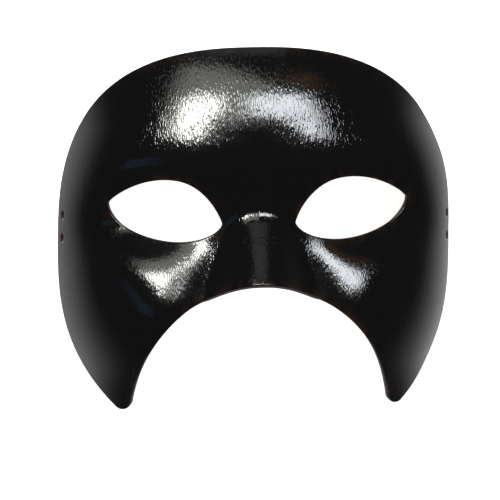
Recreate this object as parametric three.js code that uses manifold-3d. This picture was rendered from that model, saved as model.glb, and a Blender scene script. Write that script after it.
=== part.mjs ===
// Half mask moulded from one piece of leather, lying face up on its two side rims.
// Millimetres. +X runs across the face, +Y towards the forehead, +Z out of the face.
import * as THREE from 'three';
import { mergeVertices } from 'three/addons/utils/BufferGeometryUtils.js';
import Module from 'manifold-3d';

// Overall sizes
const MASK_WIDTH = 157.4;
const MASK_HEIGHT = 140.7;
const FACE_DEPTH = 46;
const LEATHER = 2.6;
const LEAN_SHIFT = 1.6;
const REST_TRIM = 0.7;

// Eye holes
const EYE_SPACING = 73;
const EYE_LENGTH = 45.2;
const EYE_ABOVE = 12.8;
const EYE_BELOW = 10.2;
const EYE_LEVEL = 6.1;
const EYE_TILT = 11.6;

// Nose
const NOSE_RISE = 15.1;
const NOSE_RIDGE = 11.2;
const NOSE_FOOT = 39.9;

// Cheek flaps and the arch between them
const ARCH_WIDTH = 101;
const ARCH_TOP = -22.3;
const TIP_RADIUS = 3.5;
const TIP_TURN = 51;

// Tie holes
const TIE_HOLE = 3.2;
const TIE_SPACING = 9.1;
const TIE_PAIRS = [
  { side: 1, level: 0.1, inset: 4.4 },
  { side: -1, level: 2.2, inset: 6.2 },
];

// Steps of the surface
const MIDDLE_STEPS = 14;
const TOP_STEPS = 16;
const SIDE_STEPS = 14;
const TIP_STEPS = 4;
const ARCH_STEPS = 16;
const RINGS = 18;
const DRILL_SIDES = 16;

const halfWidth = MASK_WIDTH / 2;
const top = MASK_HEIGHT / 2;
const bottom = -MASK_HEIGHT / 2;
const archBase = bottom - 0.064 * MASK_HEIGHT;
const tipX = ARCH_WIDTH / 2 + TIP_RADIUS;
const tipY = bottom + TIP_RADIUS;
const turn = THREE.MathUtils.degToRad(TIP_TURN);

// The upper outline is a rounded square's quarter, and the lower side draws in by a power.
const TOP_SQUARENESS = 2.6;
const SIDE_POWER = 3.1;

// Pressed forms: places and reaches as shares of the half width and of the height,
// rises as shares of the face depth.
const PRESSED = [
  { form: 'eye socket', x: 0.614, y: 0.028, wide: 0.398, tall: 0.090, rise: -0.182 },
  { form: 'brow ridge', x: 0.293, y: 0.150, wide: 0.240, tall: 0.098, rise: 0.029 },
  { form: 'cheekbone', x: 0.492, y: -0.292, wide: 0.274, tall: 0.137, rise: 0.187 },
];

// Falls along the middle of the face: where each starts, over what length, how deep.
const FOREHEAD = { start: 0.113, run: 0.462, fall: 0.345, power: 2.14 };
const LOWER_FACE = { start: -0.113, run: 0.322, fall: 0.251, power: 2.0 };
const TEMPLE_DOME = { start: 0.091, run: 0.287, fall: 0.141, reach: 0.649 };

// A corner that starts from zero and goes over into a straight rise.
function ramp(value, softness) {
  const v = value / softness;
  return softness * (Math.max(v, 0) + Math.log1p(Math.exp(-Math.abs(v))));
}

function smooth(value) {
  const v = Math.min(Math.max(value, 0), 1);
  return v * v * (3 - 2 * v);
}

// Half width of the outline in a row of the upper face or of the cheek flap.
function outlineX(y) {
  if (y >= 0) {
    const share = Math.max(1 - (y / top) ** TOP_SQUARENESS, 0);
    return halfWidth * share ** (1 / TOP_SQUARENESS);
  }
  const endX = tipX + TIP_RADIUS * Math.cos(turn);
  const endY = tipY - TIP_RADIUS * Math.sin(turn);
  return halfWidth - (halfWidth - endX) * (y / endY) ** SIDE_POWER;
}

// Where the rounded side wall would come straight down, a little outside the outline.
function wallX(y) {
  const least = 0.911 * halfWidth - 0.05 * halfWidth * Math.max(-y / top, 0) ** 2;
  return least + ramp(1.0154 * outlineX(y) - least, 0.024 * halfWidth);
}

// Rise of the nose: a ridge that climbs from between the eyes to the arch.
function noseRise(x, y) {
  const startY = 0.0378 * MASK_HEIGHT;
  const length = startY - ARCH_TOP;
  const climb = NOSE_RISE / length * ramp(startY - y, 0.08 * length);
  const down = Math.min(ramp(startY - y, 0.07 * length) / length, 1.2);
  const half = NOSE_RIDGE / 2;
  const foot = NOSE_FOOT / 2 * (0.55 + 0.45 * down);
  const v = (x - half) / (foot - half);
  return climb * (1 - ramp(v, 0.16) + ramp(v - 1, 0.13));
}

// Height of the outer face over the resting plane, before it is trimmed.
function faceHeight(across, y) {
  const x = Math.abs(across);
  const u = x / wallX(y);
  const brow = ramp(y / MASK_HEIGHT - FOREHEAD.start, 0.014) / FOREHEAD.run;
  const jaw = ramp(LOWER_FACE.start - y / MASK_HEIGHT, 0.014) / LOWER_FACE.run;
  const crest = 1 - FOREHEAD.fall * brow ** FOREHEAD.power - LOWER_FACE.fall * jaw ** LOWER_FACE.power;
  const wall = u ** 8; // nought on the face, one at the side rims
  const even = crest * (1 - 0.192 * u ** 2 - 0.808 * wall);
  const temple = ramp(y / MASK_HEIGHT - TEMPLE_DOME.start, 0.035) / TEMPLE_DOME.run;
  let pressed = -TEMPLE_DOME.fall * temple * (x / halfWidth / TEMPLE_DOME.reach) ** 2;
  for (const p of PRESSED) {
    const a = (x / halfWidth - p.x) / p.wide;
    const b = (y / MASK_HEIGHT - p.y) / p.tall;
    pressed += p.rise * Math.exp(-a * a - b * b);
  }
  return FACE_DEPTH * (even + (1 - wall) * pressed) + noseRise(x, y);
}

// A point of the outer face. The upper rows lean a little to one side, as in hand moulding.
function facePoint(x, y) {
  const row = (y / MASK_HEIGHT - 0.25) / 0.27;
  const lean = LEAN_SHIFT * (x / halfWidth) ** 2 * Math.exp(-row * row);
  return new THREE.Vector3(x + lean, y, faceHeight(x, y));
}

function faceNormal(x, y) {
  const step = 0.02;
  const alongX = facePoint(x + step, y).sub(facePoint(x - step, y));
  const alongY = facePoint(x, y + step).sub(facePoint(x, y - step));
  return alongX.cross(alongY).normalize();
}

// Half outline, clockwise from the top of the arch up the middle and round the outside.
function outline() {
  const points = [];
  for (let i = 0; i < MIDDLE_STEPS; i++) {
    points.push(new THREE.Vector2(0, THREE.MathUtils.lerp(ARCH_TOP, top, i / MIDDLE_STEPS)));
  }
  for (let i = 0; i < TOP_STEPS; i++) {
    const a = i / TOP_STEPS * Math.PI / 2;
    const power = 2 / TOP_SQUARENESS;
    points.push(new THREE.Vector2(halfWidth * Math.sin(a) ** power, top * Math.cos(a) ** power));
  }
  for (let i = 0; i < SIDE_STEPS; i++) {
    const y = (tipY - TIP_RADIUS * Math.sin(turn)) * i / SIDE_STEPS;
    points.push(new THREE.Vector2(outlineX(y), y));
  }
  for (let i = 0; i < TIP_STEPS; i++) {
    const a = -turn - (Math.PI - turn) * i / TIP_STEPS;
    points.push(new THREE.Vector2(tipX + TIP_RADIUS * Math.cos(a), tipY + TIP_RADIUS * Math.sin(a)));
  }
  const rise = ARCH_TOP - archBase;
  const first = Math.asin((tipY - archBase) / rise);
  const reach = (tipX - TIP_RADIUS) / Math.cos(first);
  for (let i = 0; i < ARCH_STEPS; i++) {
    const a = THREE.MathUtils.lerp(first, Math.PI / 2, i / ARCH_STEPS);
    points.push(new THREE.Vector2(reach * Math.cos(a), archBase + rise * Math.sin(a)));
  }
  return points;
}

// A point of the almond eye hole: its upper lid bulges more and sits nearer the nose.
function eyePoint(angle) {
  const c = Math.cos(angle);
  const s = Math.sin(angle);
  const half = EYE_LENGTH / 2;
  const peak = s >= 0 ? -0.118 * half : -0.06 * half;
  const along = peak + (c >= 0 ? half - peak : half + peak) * c;
  const across = s >= 0 ? EYE_ABOVE * s ** 1.72 : -EYE_BELOW * (-s) ** 1.18;
  const tilt = THREE.MathUtils.degToRad(EYE_TILT);
  const point = new THREE.Vector2(along, across).rotateAround(new THREE.Vector2(), tilt);
  return point.add(new THREE.Vector2(EYE_SPACING / 2, EYE_LEVEL));
}

// Each outline point faces a point of the eye hole: partly straight across, partly evenly spaced.
function eyeRim(points) {
  const centre = new THREE.Vector2(EYE_SPACING / 2, EYE_LEVEL);
  const tilt = THREE.MathUtils.degToRad(EYE_TILT);
  let angle = points[0].clone().sub(centre).angle();
  const first = angle;
  return points.map((p, i) => {
    const seen = p.clone().sub(centre).angle();
    angle += Math.atan2(Math.sin(seen - angle), Math.cos(seen - angle));
    const even = first - i / points.length * 2 * Math.PI;
    return eyePoint(0.55 * angle + 0.45 * even - tilt);
  });
}

// Rings of points from the eye hole out to the outline, along rays that end square to it.
function ringPoints() {
  const outer = outline();
  const inner = eyeRim(outer);
  const count = outer.length;
  const rings = [];
  for (let r = 0; r <= RINGS; r++) {
    const g = r / RINGS;
    const row = [];
    for (let i = 0; i < count; i++) {
      const b = outer[i];
      const e = inner[i];
      const along = outer[(i + 1) % count].clone().sub(outer[(i + count - 1) % count]).normalize();
      const inward = new THREE.Vector2(along.y, -along.x);
      const flap = smooth((b.y / MASK_HEIGHT + 0.42) / 0.21);
      const reach = Math.min(THREE.MathUtils.lerp(0.02, 0.085, flap) * MASK_HEIGHT, b.distanceTo(e) / 2);
      const square = b.clone().add(inward.multiplyScalar(reach));
      const middle = b.clone().add(e).multiplyScalar(0.5);
      const guide = middle.lerp(square, smooth(2 * b.x / halfWidth));
      const point = e.clone().multiplyScalar((1 - g) ** 2);
      point.add(guide.multiplyScalar(2 * g * (1 - g)));
      point.add(b.clone().multiplyScalar(g * g));
      row.push(point);
    }
    rings.push(row);
  }
  return rings;
}

// Closed leather wall: outer face, inner face one thickness below it, and the cut edges.
function shellGeometry() {
  const rings = ringPoints();
  const count = rings[0].length;
  const positions = [];
  const index = [];
  for (const side of [1, -1]) {
    const start = positions.length / 3;
    for (const row of rings) {
      for (const p of row) {
        const outer = facePoint(side * p.x, p.y);
        const inner = outer.clone().addScaledVector(faceNormal(side * p.x, p.y), -LEATHER);
        if (p.x === 0) outer.x = inner.x = 0;
        positions.push(outer.x, outer.y, outer.z, inner.x, inner.y, inner.z);
      }
    }
    const at = (r, i, layer) => start + 2 * (r * count + i % count) + layer;
    const quad = (a, b, c, d) => {
      if (side > 0) index.push(a, b, c, a, c, d);
      else index.push(a, c, b, a, d, c);
    };
    for (let i = 0; i < count; i++) {
      for (let r = 0; r < RINGS; r++) {
        quad(at(r, i, 0), at(r, i + 1, 0), at(r + 1, i + 1, 0), at(r + 1, i, 0));
        quad(at(r, i, 1), at(r + 1, i, 1), at(r + 1, i + 1, 1), at(r, i + 1, 1));
      }
      quad(at(0, i, 0), at(0, i, 1), at(0, i + 1, 1), at(0, i + 1, 0));
      if (i >= MIDDLE_STEPS) {
        quad(at(RINGS, i, 0), at(RINGS, i + 1, 0), at(RINGS, i + 1, 1), at(RINGS, i, 1));
      }
    }
  }
  const geometry = new THREE.BufferGeometry();
  geometry.setAttribute('position', new THREE.Float32BufferAttribute(positions, 3));
  geometry.setIndex(index);
  return geometry;
}

const wasm = await Module();
wasm.setup();

function toSolid(geometry) {
  const plain = geometry.clone();
  plain.deleteAttribute('normal');
  plain.deleteAttribute('uv');
  const merged = mergeVertices(plain, 1e-4);
  return new wasm.Manifold(new wasm.Mesh({
    numProp: 3,
    vertProperties: new Float32Array(merged.attributes.position.array),
    triVerts: new Uint32Array(merged.index.array),
  }));
}

function toGeometry(solid) {
  const mesh = solid.getMesh();
  const geometry = new THREE.BufferGeometry();
  geometry.setAttribute('position', new THREE.Float32BufferAttribute(mesh.vertProperties, 3));
  geometry.setIndex(Array.from(mesh.triVerts));
  return geometry;
}

// Place along a row where the leather, measured over its face, is the inset away from the rim.
function tiePlace(side, y, inset) {
  let x = outlineX(y);
  let left = inset;
  const step = 0.05;
  while (left > 0) {
    const here = facePoint(side * x, y);
    x -= step;
    left -= facePoint(side * x, y).distanceTo(here);
  }
  return x;
}

// A drill square to the leather at one tie hole.
function tieDrill(side, y, inset) {
  const x = side * tiePlace(side, y, inset);
  const normal = faceNormal(x, y);
  const drill = new THREE.CylinderGeometry(TIE_HOLE / 2, TIE_HOLE / 2, 4 * LEATHER, DRILL_SIDES);
  drill.applyQuaternion(new THREE.Quaternion().setFromUnitVectors(new THREE.Vector3(0, 1, 0), normal));
  const centre = facePoint(x, y).addScaledVector(normal, -LEATHER / 2);
  drill.translate(centre.x, centre.y, centre.z);
  return drill;
}

const shell = shellGeometry();
shell.computeBoundingBox();
const restPlane = shell.boundingBox.min.z + REST_TRIM;
const below = new THREE.BoxGeometry(2 * MASK_WIDTH, 2 * MASK_HEIGHT, 2 * FACE_DEPTH);
below.translate(0, 0, restPlane - FACE_DEPTH);

let leather = toSolid(shell).subtract(toSolid(below));
for (const { side, level, inset } of TIE_PAIRS) {
  for (const step of [0.5, -0.5]) {
    leather = leather.subtract(toSolid(tieDrill(side, level + step * TIE_SPACING, inset)));
  }
}

// The resting plane becomes z = 0, and the origin lies under the middle of the mask.
const mask = toGeometry(leather);
mask.computeBoundingBox();
const middle = mask.boundingBox.getCenter(new THREE.Vector3());
mask.translate(-middle.x, -middle.y, -mask.boundingBox.min.z);

const blackLeather = new THREE.MeshStandardMaterial({ color: 0x0c0b0b, roughness: 0.25, metalness: 0 });
const maskShell = new THREE.Mesh(mask, blackLeather);
maskShell.name = 'mask_shell';

const halfMask = new THREE.Group();
halfMask.add(maskShell);

export default halfMask;
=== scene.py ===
"""Half mask of moulded black leather: the leather, its finishes and a small studio."""

import math

import bmesh
import bpy
import numpy as np
from mathutils import Matrix, Vector


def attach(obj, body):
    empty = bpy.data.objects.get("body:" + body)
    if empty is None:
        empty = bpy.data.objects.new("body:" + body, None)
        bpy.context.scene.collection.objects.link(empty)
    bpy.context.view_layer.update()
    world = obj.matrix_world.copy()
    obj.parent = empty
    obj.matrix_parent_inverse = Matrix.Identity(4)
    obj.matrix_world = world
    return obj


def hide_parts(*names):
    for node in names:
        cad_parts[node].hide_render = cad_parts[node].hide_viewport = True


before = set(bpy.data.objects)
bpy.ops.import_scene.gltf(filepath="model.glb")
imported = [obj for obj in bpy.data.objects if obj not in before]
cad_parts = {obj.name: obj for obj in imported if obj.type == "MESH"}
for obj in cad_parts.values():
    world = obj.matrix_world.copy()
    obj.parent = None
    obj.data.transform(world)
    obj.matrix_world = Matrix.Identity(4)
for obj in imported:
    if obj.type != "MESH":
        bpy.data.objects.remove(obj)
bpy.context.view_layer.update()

bl_info = {
    "name": "Half mask",
    "version": (1, 0, 0),
    "blender": (4, 5, 0),
    "location": "3D View > Sidebar > Half Mask",
    "description": "Builds a moulded leather half mask and the studio around it",
    "category": "Object",
}

MM = 0.001


# ---------------------------------------------------------------- sizes and colours


class MaskSizes(bpy.types.PropertyGroup):
    """Sizes of the mask, in metres, and its angles."""

    width: bpy.props.FloatProperty(
        name="Width", description="From side rim to side rim",
        default=0.1574, unit="LENGTH",
    )
    height: bpy.props.FloatProperty(
        name="Height", description="From the forehead's edge to the cheek tips",
        default=0.1407, unit="LENGTH",
    )
    depth: bpy.props.FloatProperty(
        name="Face depth", description="From the side rims to the brow",
        default=0.046, unit="LENGTH",
    )
    leather: bpy.props.FloatProperty(
        name="Leather", description="Thickness of the leather",
        default=0.0026, unit="LENGTH",
    )
    lean: bpy.props.FloatProperty(
        name="Lean", description="How far the upper rows sit to one side",
        default=0.0016, unit="LENGTH",
    )
    rest_trim: bpy.props.FloatProperty(
        name="Rest trim", description="Leather flattened where the rims rest",
        default=0.0007, unit="LENGTH",
    )
    eye_spacing: bpy.props.FloatProperty(
        name="Eye spacing", description="Between the middles of the eye holes",
        default=0.073, unit="LENGTH",
    )
    eye_length: bpy.props.FloatProperty(
        name="Eye length", description="From corner to corner",
        default=0.0452, unit="LENGTH",
    )
    eye_above: bpy.props.FloatProperty(
        name="Upper lid", description="Rise of the eye hole over its corners",
        default=0.0128, unit="LENGTH",
    )
    eye_below: bpy.props.FloatProperty(
        name="Lower lid", description="Fall of the eye hole below its corners",
        default=0.0102, unit="LENGTH",
    )
    eye_level: bpy.props.FloatProperty(
        name="Eye level", description="Height of the eye holes over the middle",
        default=0.0061, unit="LENGTH",
    )
    eye_tilt: bpy.props.FloatProperty(
        name="Eye tilt", description="Lift of the outer corners",
        default=math.radians(11.6), subtype="ANGLE",
    )
    nose_rise: bpy.props.FloatProperty(
        name="Nose rise", description="Of the nose's end over the face",
        default=0.0151, unit="LENGTH",
    )
    nose_ridge: bpy.props.FloatProperty(
        name="Nose ridge", description="Width of the nose's flat back",
        default=0.0112, unit="LENGTH",
    )
    nose_foot: bpy.props.FloatProperty(
        name="Nose foot", description="Width of the nose where it meets the cheeks",
        default=0.0399, unit="LENGTH",
    )
    arch_width: bpy.props.FloatProperty(
        name="Arch width", description="Between the cheek flaps",
        default=0.101, unit="LENGTH",
    )
    arch_top: bpy.props.FloatProperty(
        name="Arch top", description="Height of the nose's lower edge",
        default=-0.0223, unit="LENGTH",
    )
    tip_radius: bpy.props.FloatProperty(
        name="Tip radius", description="Rounding of the flaps' tips",
        default=0.0035, unit="LENGTH",
    )
    tip_turn: bpy.props.FloatProperty(
        name="Tip turn", description="Where the outer side runs into the tip",
        default=math.radians(51), subtype="ANGLE",
    )
    tie_hole: bpy.props.FloatProperty(
        name="Tie hole", description="Diameter of a punched hole",
        default=0.0032, unit="LENGTH",
    )
    tie_spacing: bpy.props.FloatProperty(
        name="Tie spacing", description="Between a side's two holes",
        default=0.0091, unit="LENGTH",
    )
    edge_round: bpy.props.FloatProperty(
        name="Edge rounding", description="Rounding of the burnished cut edges",
        default=0.0006, unit="LENGTH",
    )


class MaskLooks(bpy.types.PropertyGroup):
    """Colours and finish of the leather."""

    black: bpy.props.FloatVectorProperty(
        name="Black dye", description="Colour of the polished face",
        subtype="COLOR", size=3, default=(0.0018, 0.0017, 0.0017),
    )
    edge: bpy.props.FloatVectorProperty(
        name="Cut edge", description="Colour of the burnished edges",
        subtype="COLOR", size=3, default=(0.016, 0.008, 0.006),
    )
    flesh: bpy.props.FloatVectorProperty(
        name="Flesh side", description="Colour of the leather's inside",
        subtype="COLOR", size=3, default=(0.30, 0.165, 0.085),
    )
    raw: bpy.props.FloatVectorProperty(
        name="Raw hole wall", description="Colour of undyed leather in the tie holes",
        subtype="COLOR", size=3, default=(0.90, 0.62, 0.42),
    )
    gloss: bpy.props.FloatProperty(
        name="Polish", description="Roughness of the polished face",
        default=0.075, min=0.0, max=1.0, subtype="FACTOR",
    )
    grain: bpy.props.FloatProperty(
        name="Grain", description="Strength of the leather's grain",
        default=0.5, min=0.0, max=1.0, subtype="FACTOR",
    )


# ---------------------------------------------------------------- the moulded form

# The upper outline is a rounded square's quarter, and the lower side draws in by a power.
TOP_SQUARENESS = 2.6
SIDE_POWER = 3.1

# Material slots: polished face, flesh side, cut edge, raw wall of a hole.
FACE, FLESH, CUT, RAW = range(4)

# Pressed forms: form, place across, place up, reach across, reach up, rise. Across is a share of
# the half width, up a share of the height and the rise a share of the face depth.
PRESSED = (
    ("eye socket", 0.614, 0.028, 0.398, 0.090, -0.182),
    ("brow ridge", 0.293, 0.150, 0.240, 0.098, 0.029),
    ("cheekbone", 0.492, -0.292, 0.274, 0.137, 0.187),
)

# Falls of the face in the same shares: where each starts, over what length, how deep. The lower
# face's start counts downwards. The first two have a power, and the temple's fall has the share
# of the half width that it reaches across.
FOREHEAD = (0.113, 0.462, 0.345, 2.14)
LOWER_FACE = (0.113, 0.322, 0.251, 2)
TEMPLE = (0.091, 0.287, 0.141, 0.649)

# Middle and spread of the rows that lean, as shares of the height.
LEAN_ROWS = (0.25, 0.27)

SIDE_SLOPE = 0.192  # share of the crest lost before the side walls
ARCH_DROP = 0.064  # middle of the arch's curve below the cheek tips, as a share of the height
NOSE_START = 0.0378  # level where the nose starts, as a share of the height

# Lids: place of the peak, as a share of the half length, and the power of the sine.
UPPER_LID = (-0.118, 1.72)
LOWER_LID = (-0.06, 1.18)

# Pairs of tie holes: side, level of the pair's middle, way along the leather from the side rim.
TIE_PAIRS = ((-1, 2.2, 6.2), (1, 0.1, 4.4))

FLARE = 0.45  # rounding of a tie hole's mouth, in millimetres
RIM_FADE = 1.3  # way over which wear and crept dye fade from a cut edge, in millimetres


def ramp(value, softness):
    """A corner that starts from zero and goes over into a straight rise."""
    return softness * np.logaddexp(0, value / softness)


def smooth(value):
    """Smooth step from nought to one."""
    v = np.clip(value, 0, 1)
    return v * v * (3 - 2 * v)


class Form:
    """The mask's surface, in millimetres, worked out from the sizes."""

    def __init__(self, sizes):
        for key in sizes.bl_rna.properties.keys():
            if key not in ("rna_type", "name"):
                value = getattr(sizes, key)
                setattr(self, key, value if key in ("eye_tilt", "tip_turn") else value / MM)
        self.half = self.width / 2
        self.top = self.height / 2
        self.bottom = -self.height / 2
        self.arch_base = self.bottom - ARCH_DROP * self.height
        self.tip_x = self.arch_width / 2 + self.tip_radius
        self.tip_y = self.bottom + self.tip_radius

    def outline_x(self, y):
        """Half width of a row: a rounded square's quarter above, a drawing-in by a power below."""
        share = np.clip(1 - (np.clip(y, 0, None) / self.top) ** TOP_SQUARENESS, 0, 1)
        up = self.half * share ** (1 / TOP_SQUARENESS)
        end_x = self.tip_x + self.tip_radius * math.cos(self.tip_turn)
        end_y = self.tip_y - self.tip_radius * math.sin(self.tip_turn)
        down = self.half - (self.half - end_x) * (np.clip(-y, 0, None) / -end_y) ** SIDE_POWER
        return np.where(y >= 0, up, down)

    def wall_x(self, y):
        """Where the rounded side wall would come straight down, a little outside the outline."""
        least = 0.911 * self.half - 0.05 * self.half * np.clip(-y / self.top, 0, None) ** 2
        return least + ramp(1.0154 * self.outline_x(y) - least, 0.024 * self.half)

    def nose(self, x, y):
        """A ridge that climbs from between the eyes to the arch, with sloping sides."""
        start = NOSE_START * self.height
        length = start - self.arch_top
        climb = self.nose_rise / length * ramp(start - y, 0.08 * length)
        down = np.minimum(ramp(start - y, 0.07 * length) / length, 1.2)
        half = self.nose_ridge / 2
        foot = self.nose_foot / 2 * (0.55 + 0.45 * down)
        v = (x - half) / (foot - half)
        return climb * (1 - ramp(v, 0.16) + ramp(v - 1, 0.13))

    def face_height(self, across, y):
        """Crest that falls away to the side walls, with the pressed forms and the nose on it.

        Of the crest, the side slope is lost by the square of the way to the wall, and the rest by
        its eighth power.
        """
        x = np.abs(across)
        u = x / self.wall_x(y)
        row = y / self.height
        start, run, fall, power = FOREHEAD
        crest = 1 - fall * (ramp(row - start, 0.014) / run) ** power
        start, run, fall, power = LOWER_FACE
        crest = crest - fall * (ramp(-start - row, 0.014) / run) ** power
        wall = u**8
        rise = crest * (1 - SIDE_SLOPE * u**2 - (1 - SIDE_SLOPE) * wall)
        start, run, fall, reach = TEMPLE
        pressed = -fall * (ramp(row - start, 0.035) / run) * (x / self.half / reach) ** 2
        for _, px, py, wide, tall, lift in PRESSED:
            away = ((x / self.half - px) / wide) ** 2 + ((row - py) / tall) ** 2
            pressed = pressed + lift * np.exp(-away)
        return self.depth * (rise + (1 - wall) * pressed) + self.nose(x, y)

    def face_point(self, x, y):
        """Point of the outer face; the upper rows lean a little to one side."""
        middle, spread = LEAN_ROWS
        row = (y / self.height - middle) / spread
        lean = self.lean * (x / self.half) ** 2 * np.exp(-row * row)
        return np.stack([x + lean, y, self.face_height(x, y)], -1)

    def face_normal(self, x, y, step=0.02):
        """Cross product of the steps across and up the face."""
        across = self.face_point(x + step, y) - self.face_point(x - step, y)
        up = self.face_point(x, y + step) - self.face_point(x, y - step)
        n = np.cross(across, up)
        return n / np.linalg.norm(n, axis=-1, keepdims=True)

    def outline(self, middle, top, side, tip, arch):
        """Half outline, clockwise from the top of the arch up the middle and round the outside."""
        zero = np.zeros(middle)
        v = np.arange(middle) / middle
        centre = np.stack([zero, self.arch_top + (self.top - self.arch_top) * v], 1)
        a = np.arange(top) / top * math.pi / 2
        power = 2 / TOP_SQUARENESS
        crown = np.stack([self.half * np.sin(a) ** power, self.top * np.cos(a) ** power], 1)
        y = (self.tip_y - self.tip_radius * math.sin(self.tip_turn)) * np.arange(side) / side
        flank = np.stack([self.outline_x(y), y], 1)
        a = -self.tip_turn - (math.pi - self.tip_turn) * np.arange(tip) / tip
        end = self.tip_radius * np.stack([np.cos(a), np.sin(a)], 1) + [self.tip_x, self.tip_y]
        rise = self.arch_top - self.arch_base
        first = math.asin((self.tip_y - self.arch_base) / rise)
        reach = (self.tip_x - self.tip_radius) / math.cos(first)
        a = first + (math.pi / 2 - first) * np.arange(arch) / arch
        below = np.stack([reach * np.cos(a), self.arch_base + rise * np.sin(a)], 1)
        return np.concatenate([centre, crown, flank, end, below])

    def eye_point(self, angle):
        """Almond: a cosine along, a power of the sine across, fuller above and nearer the nose."""
        c, s = np.cos(angle), np.sin(angle)
        half = self.eye_length / 2
        peak = np.where(s >= 0, UPPER_LID[0], LOWER_LID[0]) * half
        along = peak + np.where(c >= 0, half - peak, half + peak) * c
        above = self.eye_above * np.abs(s) ** UPPER_LID[1]
        below = self.eye_below * np.abs(s) ** LOWER_LID[1]
        across = np.where(s >= 0, above, -below)
        ct, st = math.cos(self.eye_tilt), math.sin(self.eye_tilt)
        turned = np.stack([along * ct - across * st, along * st + across * ct], -1)
        return turned + [self.eye_spacing / 2, self.eye_level]

    def rays(self, counts):
        """Eye hole point, guide point and outline point of each ray across the leather."""
        outer = self.outline(*counts)
        d = outer - [self.eye_spacing / 2, self.eye_level]
        seen = np.unwrap(np.arctan2(d[:, 1], d[:, 0]))
        even = seen[0] - np.arange(len(outer)) / len(outer) * 2 * math.pi
        inner = self.eye_point(0.55 * seen + 0.45 * even - self.eye_tilt)
        along = np.roll(outer, -1, 0) - np.roll(outer, 1, 0)
        along /= np.linalg.norm(along, axis=1, keepdims=True)
        inward = np.stack([along[:, 1], -along[:, 0]], 1)
        flap = smooth((outer[:, 1] / self.height + 0.42) / 0.21)
        long = np.linalg.norm(outer - inner, axis=1)
        reach = np.minimum((0.02 + 0.065 * flap) * self.height, long / 2)
        square = outer + inward * reach[:, None]
        mix = smooth(2 * outer[:, :1] / self.half)
        guide = (1 - mix) * (outer + inner) / 2 + mix * square
        return inner, guide, outer


def nearest(points, curve):
    """Distance from each point to the nearest point of a curve."""
    batches = np.array_split(points, len(points) // 4000 + 1)
    return np.concatenate([np.sqrt(((p[:, None] - curve) ** 2).sum(-1).min(1)) for p in batches])


def leather_mesh(form, counts=(110, 62, 56, 12, 60), rings=42, turns=5):
    """Closed leather wall as a grid of rings and rays on each half.

    A ray is a quadratic curve from the eye hole to the outline. The rings stand close together at
    both cut edges, where the face and the inside draw together by a quarter circle, so that the
    edges are rounded. The inside lies one thickness below the face, along its normal.
    Returns points in millimetres, quads, the kind of each quad and each point's gap to a cut edge.
    """
    inner, guide, outer = form.rays(counts)
    count, middle = len(outer), counts[0]
    steps = form.edge_round * (1 - np.cos(np.linspace(0, math.pi / 2, turns)))
    steps = np.append(steps, [1.6 * form.edge_round, 2.6 * form.edge_round])[:, None]
    stretch = 1 / np.clip(form.face_normal(outer[:, 0], outer[:, 1])[:, 2], 0.2, 1)
    start = steps / (2 * np.linalg.norm(guide - inner, axis=1))
    end = 1 - steps[::-1] / (2 * np.linalg.norm(outer - guide, axis=1) * stretch)
    share = np.linspace(0, 1, rings + 2)[1:-1, None]
    g = np.concatenate([start, start[-1] + (end[0] - start[-1]) * share, end])[..., None]
    plan = (1 - g) ** 2 * inner + 2 * g * (1 - g) * guide + g**2 * outer
    rows = len(plan)
    size = rows * count
    grid = np.arange(size).reshape(rows, count)
    nxt = np.roll(grid, -1, 1)
    quads = [np.stack([grid[:-1], nxt[:-1], nxt[1:], grid[1:]], -1).reshape(-1, 4)]
    quads.append(np.stack([grid[:-1], grid[1:], nxt[1:], nxt[:-1]], -1).reshape(-1, 4) + size)
    kinds = [np.full(len(quads[0]), FACE), np.full(len(quads[1]), FLESH)]
    cuts = np.linspace(0, 1, 5)[1:-1]
    spot = 2 * size
    for row, keep in ((0, np.ones(count, bool)), (rows - 1, np.arange(count) >= middle)):
        between = spot + np.arange(len(cuts) * count).reshape(len(cuts), count)
        lines = [grid[row], *between, grid[row] + size]
        spot += len(cuts) * count
        for a, b in zip(lines[:-1], lines[1:]):
            q = np.stack([a, b, np.roll(b, -1), np.roll(a, -1)], -1)[keep]
            quads.append(q[:, ::-1] if row else q)
            kinds.append(np.full(len(q), CUT))
    quads, kinds = np.concatenate(quads), np.concatenate(kinds)
    points, gaps = [], []
    for side in (1, -1):
        x, y = side * plan[..., 0], plan[..., 1]
        face, normal = form.face_point(x, y), form.face_normal(x, y)
        rim = np.concatenate([face[0], face[-1, middle:], face[-1, :1]])
        gap = nearest(face.reshape(-1, 3), rim).reshape(x.shape)
        v = np.clip(1 - gap / form.edge_round, 0, 1)
        drop = form.edge_round * (1 - np.sqrt(1 - v * v))[..., None]
        upper, lower = face - drop * normal, face - (form.leather - drop) * normal
        points += [upper.reshape(-1, 3), lower.reshape(-1, 3)]
        gaps += [gap.ravel(), gap.ravel()]
        for row in (0, rows - 1):
            wall = upper[row] + (lower[row] - upper[row]) * cuts[:, None, None]
            points.append(wall.reshape(-1, 3))
            gaps.append(np.zeros(len(cuts) * count))
    half = len(np.concatenate(points)) // 2
    quads = np.concatenate([quads, quads[:, ::-1] + half])
    kinds = np.concatenate([kinds, kinds])
    used, place = np.unique(quads, return_inverse=True)
    return np.concatenate(points)[used], place.reshape(-1, 4), kinds, np.concatenate(gaps)[used]


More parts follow.
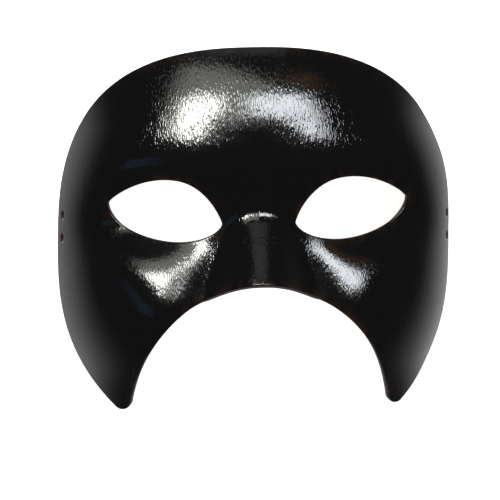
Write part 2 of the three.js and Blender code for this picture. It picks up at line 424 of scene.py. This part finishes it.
def drill_mesh(form, sides=40):
    """Cutter of one tie hole: a profile of radii turned about its axis, flared at the faces.

    The flare is a quarter circle, as the punch and the polishing leave it. Beyond it the cutter
    goes on straight, well clear of the leather.
    """
    radius, half = form.tie_hole / 2, form.leather / 2
    turn = np.linspace(0, math.pi / 2, 5)
    bend = np.stack([radius + FLARE * (1 - np.sin(turn)), half - FLARE * (1 - np.cos(turn))], 1)
    clear = np.array([[radius + FLARE, half + 3.0], [radius + FLARE, half + 0.02]])
    upper = np.concatenate([clear, bend])
    profile = np.concatenate([upper, (upper * [1, -1])[::-1]])
    a = np.arange(sides) / sides * 2 * math.pi
    ring = np.stack([np.cos(a), np.sin(a)], 1)
    points = np.concatenate(
        [profile[:, :1, None] * ring[None], np.repeat(profile[:, None, 1:], sides, 1)], -1
    ).reshape(-1, 3)
    grid = np.arange(len(profile) * sides).reshape(len(profile), sides)
    nxt = np.roll(grid, -1, 1)
    quads = np.stack([grid[:-1], grid[1:], nxt[1:], nxt[:-1]], -1).reshape(-1, 4)
    return points, quads, (grid[0], grid[-1][::-1])


def tie_places(form):
    """Middle of the wall and outward normal at each tie hole.

    A hole lies where the way along the face from the side rim, in its own row, is the pair's inset.
    """
    places = []
    for side, middle, inset in TIE_PAIRS:
        for level in (middle - form.tie_spacing / 2, middle + form.tie_spacing / 2):
            x = form.outline_x(level) - np.linspace(0, 8, 161)
            way = form.face_point(side * x, np.full_like(x, level))
            length = np.append(0, np.cumsum(np.linalg.norm(np.diff(way, axis=0), axis=1)))
            at = side * np.interp(inset, length, x)
            normal = form.face_normal(at, level)
            places.append((form.face_point(at, level) - normal * form.leather / 2, normal))
    return places


def new_object(name, points, faces):
    """A mesh object at the origin, from points in metres."""
    mesh = bpy.data.meshes.new(name)
    mesh.from_pydata(points.tolist(), [], faces)
    piece = bpy.data.objects.new(name, mesh)
    bpy.context.scene.collection.objects.link(piece)
    return piece


def close_mesh(mesh, gap=1e-6):
    """Merge the two halves' common points and turn every face outwards."""
    work = bmesh.new()
    work.from_mesh(mesh)
    bmesh.ops.remove_doubles(work, verts=work.verts, dist=gap)
    bmesh.ops.recalc_face_normals(work, faces=work.faces)
    work.to_mesh(mesh)
    work.free()


# ---------------------------------------------------------------- finishes


class Value:
    """A number, colour or vector socket; arithmetic on numbers adds Math nodes."""

    def __init__(self, nodes, socket):
        self.nodes = nodes
        self.socket = socket

    def _math(self, operation, *inputs):
        return self.nodes.add("ShaderNodeMath", {"operation": operation}, dict(enumerate(inputs)))

    def __add__(self, other):
        return self._math("ADD", self, other)

    def __radd__(self, other):
        return self._math("ADD", other, self)

    def __sub__(self, other):
        return self._math("SUBTRACT", self, other)

    def __rsub__(self, other):
        return self._math("SUBTRACT", other, self)

    def __mul__(self, other):
        return self._math("MULTIPLY", self, other)

    def __rmul__(self, other):
        return self._math("MULTIPLY", other, self)

    def __abs__(self):
        return self._math("ABSOLUTE", self)

    def step(self, low, high):
        """Smooth step from nought at low to one at high."""
        return self.nodes.add(
            "ShaderNodeMapRange",
            {"interpolation_type": "SMOOTHSTEP", "clamp": True},
            {"Value": self, "From Min": low, "From Max": high},
        )


class Nodes:
    """The node tree of one finish."""

    def __init__(self, name, owner=None):
        self.material = owner or bpy.data.materials.new(name)
        self.material.use_nodes = True
        self.tree = self.material.node_tree
        self.tree.nodes.clear()

    def add(self, kind, settings, inputs, output=0):
        """Adds a node: its settings first, then its sockets' values and links; gives one output."""
        node = self.tree.nodes.new(kind)
        for key, value in settings.items():
            setattr(node, key, value)
        for key, value in inputs.items():
            if isinstance(value, Value):
                self.tree.links.new(value.socket, node.inputs[key])
            else:
                node.inputs[key].default_value = value
        return Value(self, node.outputs[output])

    def place(self, across, up, out):
        """Object coordinates, counted in cells of these sizes in millimetres."""
        where = self.add("ShaderNodeTexCoord", {}, {}, "Object")
        scale = [1 / (MM * size) for size in (across, up, out)]
        return self.add("ShaderNodeVectorMath", {"operation": "MULTIPLY"}, {0: where, 1: scale})

    def along(self, axis):
        """Object coordinate along one axis, in millimetres."""
        return self.add("ShaderNodeSeparateXYZ", {}, {"Vector": self.place(1.0, 1.0, 1.0)}, axis)

    def noise(self, where, detail=2.0, rough=0.5, warp=0.0):
        """Cloudy noise from nought to one, with this much detail, roughness and distortion."""
        inputs = {"Detail": detail, "Roughness": rough, "Distortion": warp}
        return self.add("ShaderNodeTexNoise", {}, {"Vector": where, "Scale": 1.0, **inputs})

    def attribute(self, name):
        """The piece's own attribute, a number for each point."""
        settings = {"attribute_type": "GEOMETRY", "attribute_name": name}
        return self.add("ShaderNodeAttribute", settings, {}, "Fac")

    def mix(self, share, first, second):
        """Blend of two colours, by a share from nought to one."""
        first, second = (v if isinstance(v, Value) else (*v, 1.0) for v in (first, second))
        inputs = {"Factor": share, 6: first, 7: second}
        return self.add("ShaderNodeMix", {"data_type": "RGBA"}, inputs, 2)

    def bump(self, height, distance, strength=1.0, under=None):
        """Normal pushed by a height, over another bump where one is given."""
        inputs = {"Height": height, "Distance": distance, "Strength": strength}
        if under:
            inputs["Normal"] = under
        return self.add("ShaderNodeBump", {}, inputs)

    def finish(self, **sockets):
        """The shader, with its sockets named by words joined with underscores."""
        inputs = {key.replace("_", " "): value for key, value in sockets.items()}
        shader = self.add("ShaderNodeBsdfPrincipled", {}, inputs)
        return self.close("ShaderNodeOutputMaterial", shader)

    def close(self, kind, shader):
        """Links the shader to the tree's output."""
        out = self.tree.nodes.new(kind)
        self.tree.links.new(shader.socket, out.inputs["Surface"])
        return self.material


# Second colours of the finishes, blended over the ones that a user can change.
WORN_BROWN = (0.045, 0.021, 0.012)
EDGE_BROWN = (0.05, 0.02, 0.012)
STAINED_TAN = (0.16, 0.075, 0.034)
CREPT_DYE = (0.02, 0.012, 0.009)
AGED_TAN = (0.45, 0.20, 0.09)
# Dark of a tie hole's wall: dye run in from the face, and painted shade on the upper wall.
HOLE_DYE_AND_SHADE = (0.035, 0.012, 0.007)


def polished_leather(looks):
    """Black dyed and polished grain side.

    The grain is ridges drawn out up the face, smooth between, with finer brush streaks of the
    polish over them, and a slow unevenness from the moulding. On the cheeks the ridges are
    shallower and the streaks deeper. The dye is thinner on the worn rims, where brown shows.
    """
    n = Nodes("polished black leather")
    ridge = n.noise(n.place(0.60, 5.0, 0.60), 1.0, 0.5)
    streak = n.noise(n.place(0.36, 4.0, 0.36), 1.5, 0.55)
    drift = n.noise(n.place(9.0, 13.0, 9.0), 2.0, 0.5)
    patch = n.noise(n.place(4.0, 7.0, 4.0), 2.0, 0.5)
    cheek = (1 - n.along("Y").step(-8.0, 22.0)) * abs(n.along("X")).step(7.0, 16.0)
    relief = ridge.step(0.46, 0.72) * (0.8 - cheek * 0.3) + streak * (0.9 + cheek * 0.5)
    grain = n.bump(relief, 0.05 * MM * looks.grain, 1.0, n.bump(drift, 0.06 * MM, 1.0))
    rub = n.attribute("rim") * patch.step(0.42, 0.62) * 0.5
    colour = n.mix(rub + ridge.step(0.62, 0.72) * 0.06, looks.black, WORN_BROWN)
    rough = looks.gloss + (patch - 0.5) * 0.05 + n.attribute("rim") * 0.10
    return n.finish(Base_Color=colour, Roughness=rough, IOR=1.6, Normal=grain)


def cut_edge(looks):
    """Cut edge, dyed and burnished: dark reddish brown with fibres drawn along the cut."""
    n = Nodes("burnished cut edge")
    fibre = n.noise(n.place(0.9, 0.9, 0.16), 3.0, 0.6)
    blot = n.noise(n.place(2.5, 2.5, 1.2), 2.0, 0.5)
    colour = n.mix(blot.step(0.38, 0.68) * 0.8 + fibre * 0.25, looks.edge, EDGE_BROWN)
    rough = 0.34 + fibre * 0.2
    grain = n.bump(fibre * 0.6 + blot * 0.4, 0.12 * MM, 0.8)
    return n.finish(Base_Color=colour, Roughness=rough, Normal=grain)


def flesh_side(looks):
    """Undyed inside: short matted fibres, soft stains, and dye that has crept round the edges."""
    n = Nodes("flesh side of the leather")
    fibre = n.noise(n.place(0.5, 0.28, 0.5), 4.0, 0.7, 0.8)
    nap = n.noise(n.place(1.8, 1.1, 1.8), 3.0, 0.6, 0.4)
    stain = n.noise(n.place(16.0, 12.0, 16.0), 3.0, 0.55)
    crept = (n.attribute("rim") + (nap - 0.5) * 0.35).step(0.16, 0.42)
    tan = n.mix(stain.step(0.3, 0.7) * 0.6 + fibre * 0.25, looks.flesh, STAINED_TAN)
    colour = n.mix(crept * 0.92, tan, CREPT_DYE)
    rough = 0.86 - crept * 0.2 + (nap - 0.5) * 0.1
    grain = n.bump(fibre * 0.6 + nap * 0.4, 0.25 * MM, 0.7)
    return n.finish(Base_Color=colour, Roughness=rough, Normal=grain)


def raw_hole(looks):
    """Wall of a punched hole: raw tan leather with torn fibres, lightest low and deep in the hole.

    The dye has run in from the face, so the wall starts dark brown. Lighter low in the hole is
    painted light, as the lamps above would fall on the lower wall, and the dark upper wall is
    painted shade. The point attribute read below says how low and how deep a point lies.
    """
    n = Nodes("raw leather in the tie holes")
    fibre = n.noise(n.place(0.35, 0.35, 0.2), 3.0, 0.6)
    layer = n.noise(n.place(1.2, 1.2, 0.5), 2.0, 0.5)
    tan = n.mix(layer.step(0.35, 0.65) * 0.5 + fibre * 0.2, looks.raw, AGED_TAN)
    # Painted light and shade: the share grows low in the hole, so the lower wall shows light tan
    # and the upper wall stays dark.
    bare = (n.attribute("bare") + (fibre - 0.5) * 0.2).step(0.40, 0.62)
    colour = n.mix(bare, HOLE_DYE_AND_SHADE, tan)
    rough = 0.6 + fibre * 0.25
    return n.finish(Base_Color=colour, Roughness=rough, Normal=n.bump(fibre, 0.12 * MM, 0.8))


def pale_floor():
    """Matt pale ground with a barely seen paper tooth."""
    n = Nodes("pale floor")
    tooth = n.noise(n.place(1.5, 1.5, 1.5), 3.0, 0.6)
    colour = n.mix(tooth, (0.86, 0.86, 0.86), (0.90, 0.90, 0.90))
    return n.finish(
        Base_Color=colour, Roughness=1.0, Specular_IOR_Level=0.0,
        Emission_Color=(0.98, 0.99, 1.0, 1.0), Emission_Strength=0.8,
    )


def pale_backdrop():
    """Pale surroundings that only the camera sees."""
    n = Nodes("pale backdrop")
    cloud = n.noise(n.place(2500.0, 2500.0, 2500.0), 2.0)
    colour = n.mix(cloud, (0.70, 0.71, 0.72), (0.78, 0.78, 0.78))
    return n.finish(
        Base_Color=(0, 0, 0, 1), Roughness=1.0, Specular_IOR_Level=0.0,
        Emission_Color=colour, Emission_Strength=1.0,
    )


# ---------------------------------------------------------------- building


def add_attribute(mesh, name, values):
    """One number for each point, which the finishes read."""
    numbers = mesh.attributes.new(name, "FLOAT", "POINT")
    numbers.data.foreach_set("value", values.astype(np.float32))


def dress(mesh, finishes, kinds):
    """Give the mesh its finishes, and each face the one of its kind."""
    for finish in finishes:
        mesh.materials.append(finish)
    mesh.polygons.foreach_set("material_index", kinds.astype(np.int32))


def drills(form, holes):
    """Points in millimetres and faces of all the cutters, each turned to its hole's normal."""
    points, quads, caps = drill_mesh(form)
    spots, faces = [], []
    for number, (place, normal) in enumerate(holes):
        turn = np.array(Vector(normal).to_track_quat("Z", "Y").to_matrix())
        spots.append(points @ turn.T + place)
        faces += (quads + number * len(points)).tolist()
        faces += [(cap + number * len(points)).tolist() for cap in caps]
    return np.concatenate(spots), faces


def cut_holes(shell, drill, context):
    """Cut the drill out of the shell for good, and shade the shell smoothly."""
    cut = shell.modifiers.new("tie holes", "BOOLEAN")
    cut.operation, cut.solver, cut.object = "DIFFERENCE", "EXACT", drill
    seen = shell.evaluated_get(context.evaluated_depsgraph_get())
    done = bpy.data.meshes.new_from_object(seen)
    shell.modifiers.clear()
    whole, shell.data = shell.data, done
    bpy.data.meshes.remove(whole)
    bpy.data.objects.remove(drill)
    done.name = "mask_leather"
    done.polygons.foreach_set("use_smooth", np.ones(len(done.polygons), bool))
    return done


def bare_and_lit_share(mesh, form, middles):
    """How deep and how low each point lies in its nearest tie hole, from nought to one.

    A half, plus 0.35 times the way inwards in halves of the leather, less 0.35 times the way up in
    radii of the hole. The way up is painted light: it makes the lower wall lighter and the upper
    wall darker, as the lamps above would.
    """
    spots = np.empty(3 * len(mesh.vertices), np.float32)
    mesh.vertices.foreach_get("co", spots)
    away = spots.reshape(-1, 1, 3) / MM - middles
    away = away[np.arange(len(away)), np.linalg.norm(away, axis=-1).argmin(1)]
    inwards = -np.sign(spots[::3]) * away[:, 0]
    bare = 0.5 + 0.35 * (inwards / (form.leather / 2) - away[:, 1] / (form.tie_hole / 2))
    return np.clip(bare, 0, 1)


class HALFMASK_OT_leather(bpy.types.Operator):
    """Mould the leather, punch its tie holes and finish its surfaces"""

    bl_idname = "half_mask.leather"
    bl_label = "Leather"

    def execute(self, context):
        form = Form(context.scene.half_mask_sizes)
        looks = context.scene.half_mask_looks
        points, quads, kinds, gaps = leather_mesh(form)
        low, high = points.min(0), points.max(0)
        shift = -np.array([(low[0] + high[0]) / 2, (low[1] + high[1]) / 2, low[2] + form.rest_trim])
        points = points + shift
        points[:, 2] = np.maximum(points[:, 2], 0)
        shell = new_object("mask_leather", points * MM, quads.tolist())
        add_attribute(shell.data, "rim", np.exp(-gaps / RIM_FADE))
        finishes = [make(looks) for make in (polished_leather, flesh_side, cut_edge, raw_hole)]
        dress(shell.data, finishes, kinds)
        close_mesh(shell.data)

        holes = [(place + shift, normal) for place, normal in tie_places(form)]
        points, faces = drills(form, holes)
        drill = new_object("tie_drills", points * MM, faces)
        dress(drill.data, finishes, np.full(len(faces), RAW))
        close_mesh(drill.data)
        done = cut_holes(shell, drill, context)
        if len(done.polygons) < len(quads) * 0.9:
            raise RuntimeError("The tie holes could not be cut.")
        # The holes' depth and lowness, from which their finish paints the lower walls lit and the
        # upper walls in shade.
        add_attribute(done, "bare", bare_and_lit_share(done, form, np.array([place for place, _ in holes])))
        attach(shell, "root")
        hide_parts("mask_shell")
        return {"FINISHED"}


ROOM = 9.0  # reach of the floor and of the backdrop, in metres

# Light boxes as the polish mirrors them: name, direction to the left and upwards, half width and
# half height, brightness, colour and roll. Angles are in degrees.
SOFT_BOXES = (
    ("left window", (18.3, 33.2), (6.6, 2.7), 30.0, (1.0, 0.99, 0.95), -13.3),
    ("left wall", (11.6, 36.9), (17.9, 8.0), 2.3, (0.96, 1.0, 0.90), -14.3),
    ("right window", (-14.2, 31.4), (10.4, 3.4), 15.5, (0.92, 0.95, 1.0), 7.3),
    ("warm shade", (-27.0, 40.0), (5.0, 1.8), 0.5, (1.0, 0.50, 0.18), 7),
    ("blue shade", (41.0, 13.0), (9.0, 6.0), 0.24, (0.25, 0.55, 1.0), 0),
    ("ceiling", (-1.0, 56.9), (14.0, 6.5), 0.42, (0.88, 0.95, 1.0), 0),
    ("back window", (0.0, 80.0), (42.0, 6.0), 1.6, (1.0, 0.99, 0.97), 0),
    ("front window", (0.0, -84.0), (16.0, 5.0), 1.2, (0.97, 0.99, 1.0), 0),
)

# Camera: turn to the left and roll in degrees, the point that it looks at, its distance from
# that point in metres, and its focal length in widths of the frame.
CAMERA_TURN, CAMERA_ROLL = 3.658, -1.271
CAMERA_AIM = (-0.00162, -0.00876, -0.00295)
CAMERA_AWAY = 1.0
CAMERA_FOCUS = 2486 / 500


def floor_sheet(cells=6):
    """Square of cells at nought height, as far each way as the room reaches."""
    line = np.linspace(-ROOM, ROOM, cells + 1)
    u, v = np.meshgrid(line, line, indexing="ij")
    grid = np.arange(u.size).reshape(u.shape)
    quads = np.stack([grid[:-1, :-1], grid[1:, :-1], grid[1:, 1:], grid[:-1, 1:]], -1)
    return np.stack([u, v, 0 * u], -1).reshape(-1, 3), quads.reshape(-1, 4).tolist()


def dome(around=48, rows=12):
    """Half a ball over the floor: circles that draw in by the cosine of their rise, and a lid."""
    far = np.linspace(0, 2 * math.pi, around + 1)[:-1]
    rise = np.linspace(0, math.pi / 2, rows + 1)[:-1, None]
    level, draw = np.sin(rise) + 0 * far, np.cos(rise)
    ball = np.stack([draw * np.cos(far), draw * np.sin(far), level], -1)
    ring = np.arange(rows * around).reshape(rows, around)
    turn = np.roll(ring, -1, 1)
    quads = np.stack([ring[:-1], ring[1:], turn[1:], turn[:-1]], -1).reshape(-1, 4)
    return ROOM * ball.reshape(-1, 3), quads.tolist() + [ring[-1].tolist()]


def aim(left, up):
    """Direction from the mask: so many degrees to the left of straight out, and so many upwards."""
    a, b = math.radians(left), math.radians(up)
    return Vector((-math.sin(a) * math.cos(b), math.sin(b), math.cos(a) * math.cos(b)))


def soft_box(name, towards, reach, bright, colour, roll, distance=1.5):
    """An area light that looks at the mask's middle.

    Its half width and half height are angles seen from the mask, in degrees, and its power is its
    brightness times its area times pi.
    """
    lamp = bpy.data.lights.new(name, "AREA")
    lamp.shape = "RECTANGLE"
    lamp.size, lamp.size_y = (2 * distance * math.radians(angle) for angle in reach)
    lamp.energy, lamp.color = bright * math.pi * lamp.size * lamp.size_y, colour
    piece = bpy.data.objects.new(name, lamp)
    bpy.context.scene.collection.objects.link(piece)
    piece.location = Vector((0, 0, 0.04)) + towards * distance
    across = Vector((0, 1, 0)).cross(towards).normalized()
    turn = Matrix((across, towards.cross(across), towards)).transposed()
    turn = turn @ Matrix.Rotation(math.radians(roll), 3, "Z")
    piece.rotation_euler = turn.to_euler()
    return piece


def room_light():
    """Dim room above, and below the horizon the pale ground as the side walls mirror it."""
    n = Nodes("room", bpy.data.worlds.new("room"))
    way = n.add("ShaderNodeTexCoord", {}, {}, "Generated")
    out = n.add("ShaderNodeSeparateXYZ", {}, {"Vector": way}, "Z")
    bright = 0.07 + 0.45 * (0 - out).step(0.0, 0.95)
    glow = n.add("ShaderNodeBackground", {}, {"Color": (1.0, 1.0, 1.03, 1.0), "Strength": bright})
    return n.close("ShaderNodeOutputWorld", glow)


def photo_camera():
    """Camera that looks at the mask from nearly straight above, turned and rolled a little."""
    turn, roll = math.radians(CAMERA_TURN), math.radians(CAMERA_ROLL)
    back = Vector((-math.sin(turn), 0, math.cos(turn)))
    right = Vector((0, 1, 0)).cross(back).normalized()
    up = back.cross(right)
    side = math.cos(roll) * right + math.sin(roll) * up
    head = math.cos(roll) * up - math.sin(roll) * right
    place = Vector(CAMERA_AIM) + CAMERA_AWAY * back
    lens = bpy.data.cameras.new("camera")
    lens.lens, lens.clip_start = lens.sensor_width * CAMERA_FOCUS, 0.01
    camera = bpy.data.objects.new("camera", lens)
    bpy.context.scene.collection.objects.link(camera)
    rows = [(side[i], head[i], back[i], place[i]) for i in range(3)]
    camera.matrix_world = Matrix(rows + [(0, 0, 0, 1)])
    return camera


class HALFMASK_OT_studio(bpy.types.Operator):
    """Lay the pale floor and set the soft lights and the camera"""

    bl_idname = "half_mask.studio"
    bl_label = "Studio"

    def execute(self, context):
        scene = context.scene
        floor = new_object("floor", *floor_sheet())
        floor.data.materials.append(pale_floor())
        floor.visible_glossy = False
        backdrop = new_object("backdrop", *dome())
        backdrop.data.materials.append(pale_backdrop())
        for seen in ("visible_glossy", "visible_diffuse", "visible_shadow", "visible_transmission"):
            setattr(backdrop, seen, False)

        for name, way, reach, bright, colour, roll in SOFT_BOXES:
            soft_box(name, aim(*way), reach, bright, colour, roll)
        fill = soft_box("fill", Vector((0, 0, 1)), (45.0, 45.0), 1.2, (1.0, 1.0, 1.0), 0)
        fill.visible_glossy = False
        scene.world = room_light()
        scene.view_settings.view_transform = "Standard"
        scene.camera = photo_camera()
        return {"FINISHED"}


class HALFMASK_PT_panel(bpy.types.Panel):
    """Sizes, looks and steps of the half mask"""

    bl_idname = "HALFMASK_PT_panel"
    bl_label = "Half Mask"
    bl_space_type = "VIEW_3D"
    bl_region_type = "UI"
    bl_category = "Half Mask"

    def draw(self, context):
        for settings in (context.scene.half_mask_sizes, context.scene.half_mask_looks):
            box = self.layout.box()
            for key in settings.bl_rna.properties.keys():
                if key not in ("rna_type", "name"):
                    box.prop(settings, key)
        self.layout.operator("half_mask.leather")
        self.layout.operator("half_mask.studio")


CLASSES = (MaskSizes, MaskLooks, HALFMASK_OT_leather, HALFMASK_OT_studio, HALFMASK_PT_panel)


def register():
    for item in CLASSES:
        bpy.utils.register_class(item)
    bpy.types.Scene.half_mask_sizes = bpy.props.PointerProperty(type=MaskSizes)
    bpy.types.Scene.half_mask_looks = bpy.props.PointerProperty(type=MaskLooks)


def unregister():
    del bpy.types.Scene.half_mask_looks
    del bpy.types.Scene.half_mask_sizes
    for item in reversed(CLASSES):
        bpy.utils.unregister_class(item)


def main():
    register()
    bpy.ops.half_mask.leather()
    bpy.ops.half_mask.studio()


if __name__ == "__main__":
    main()
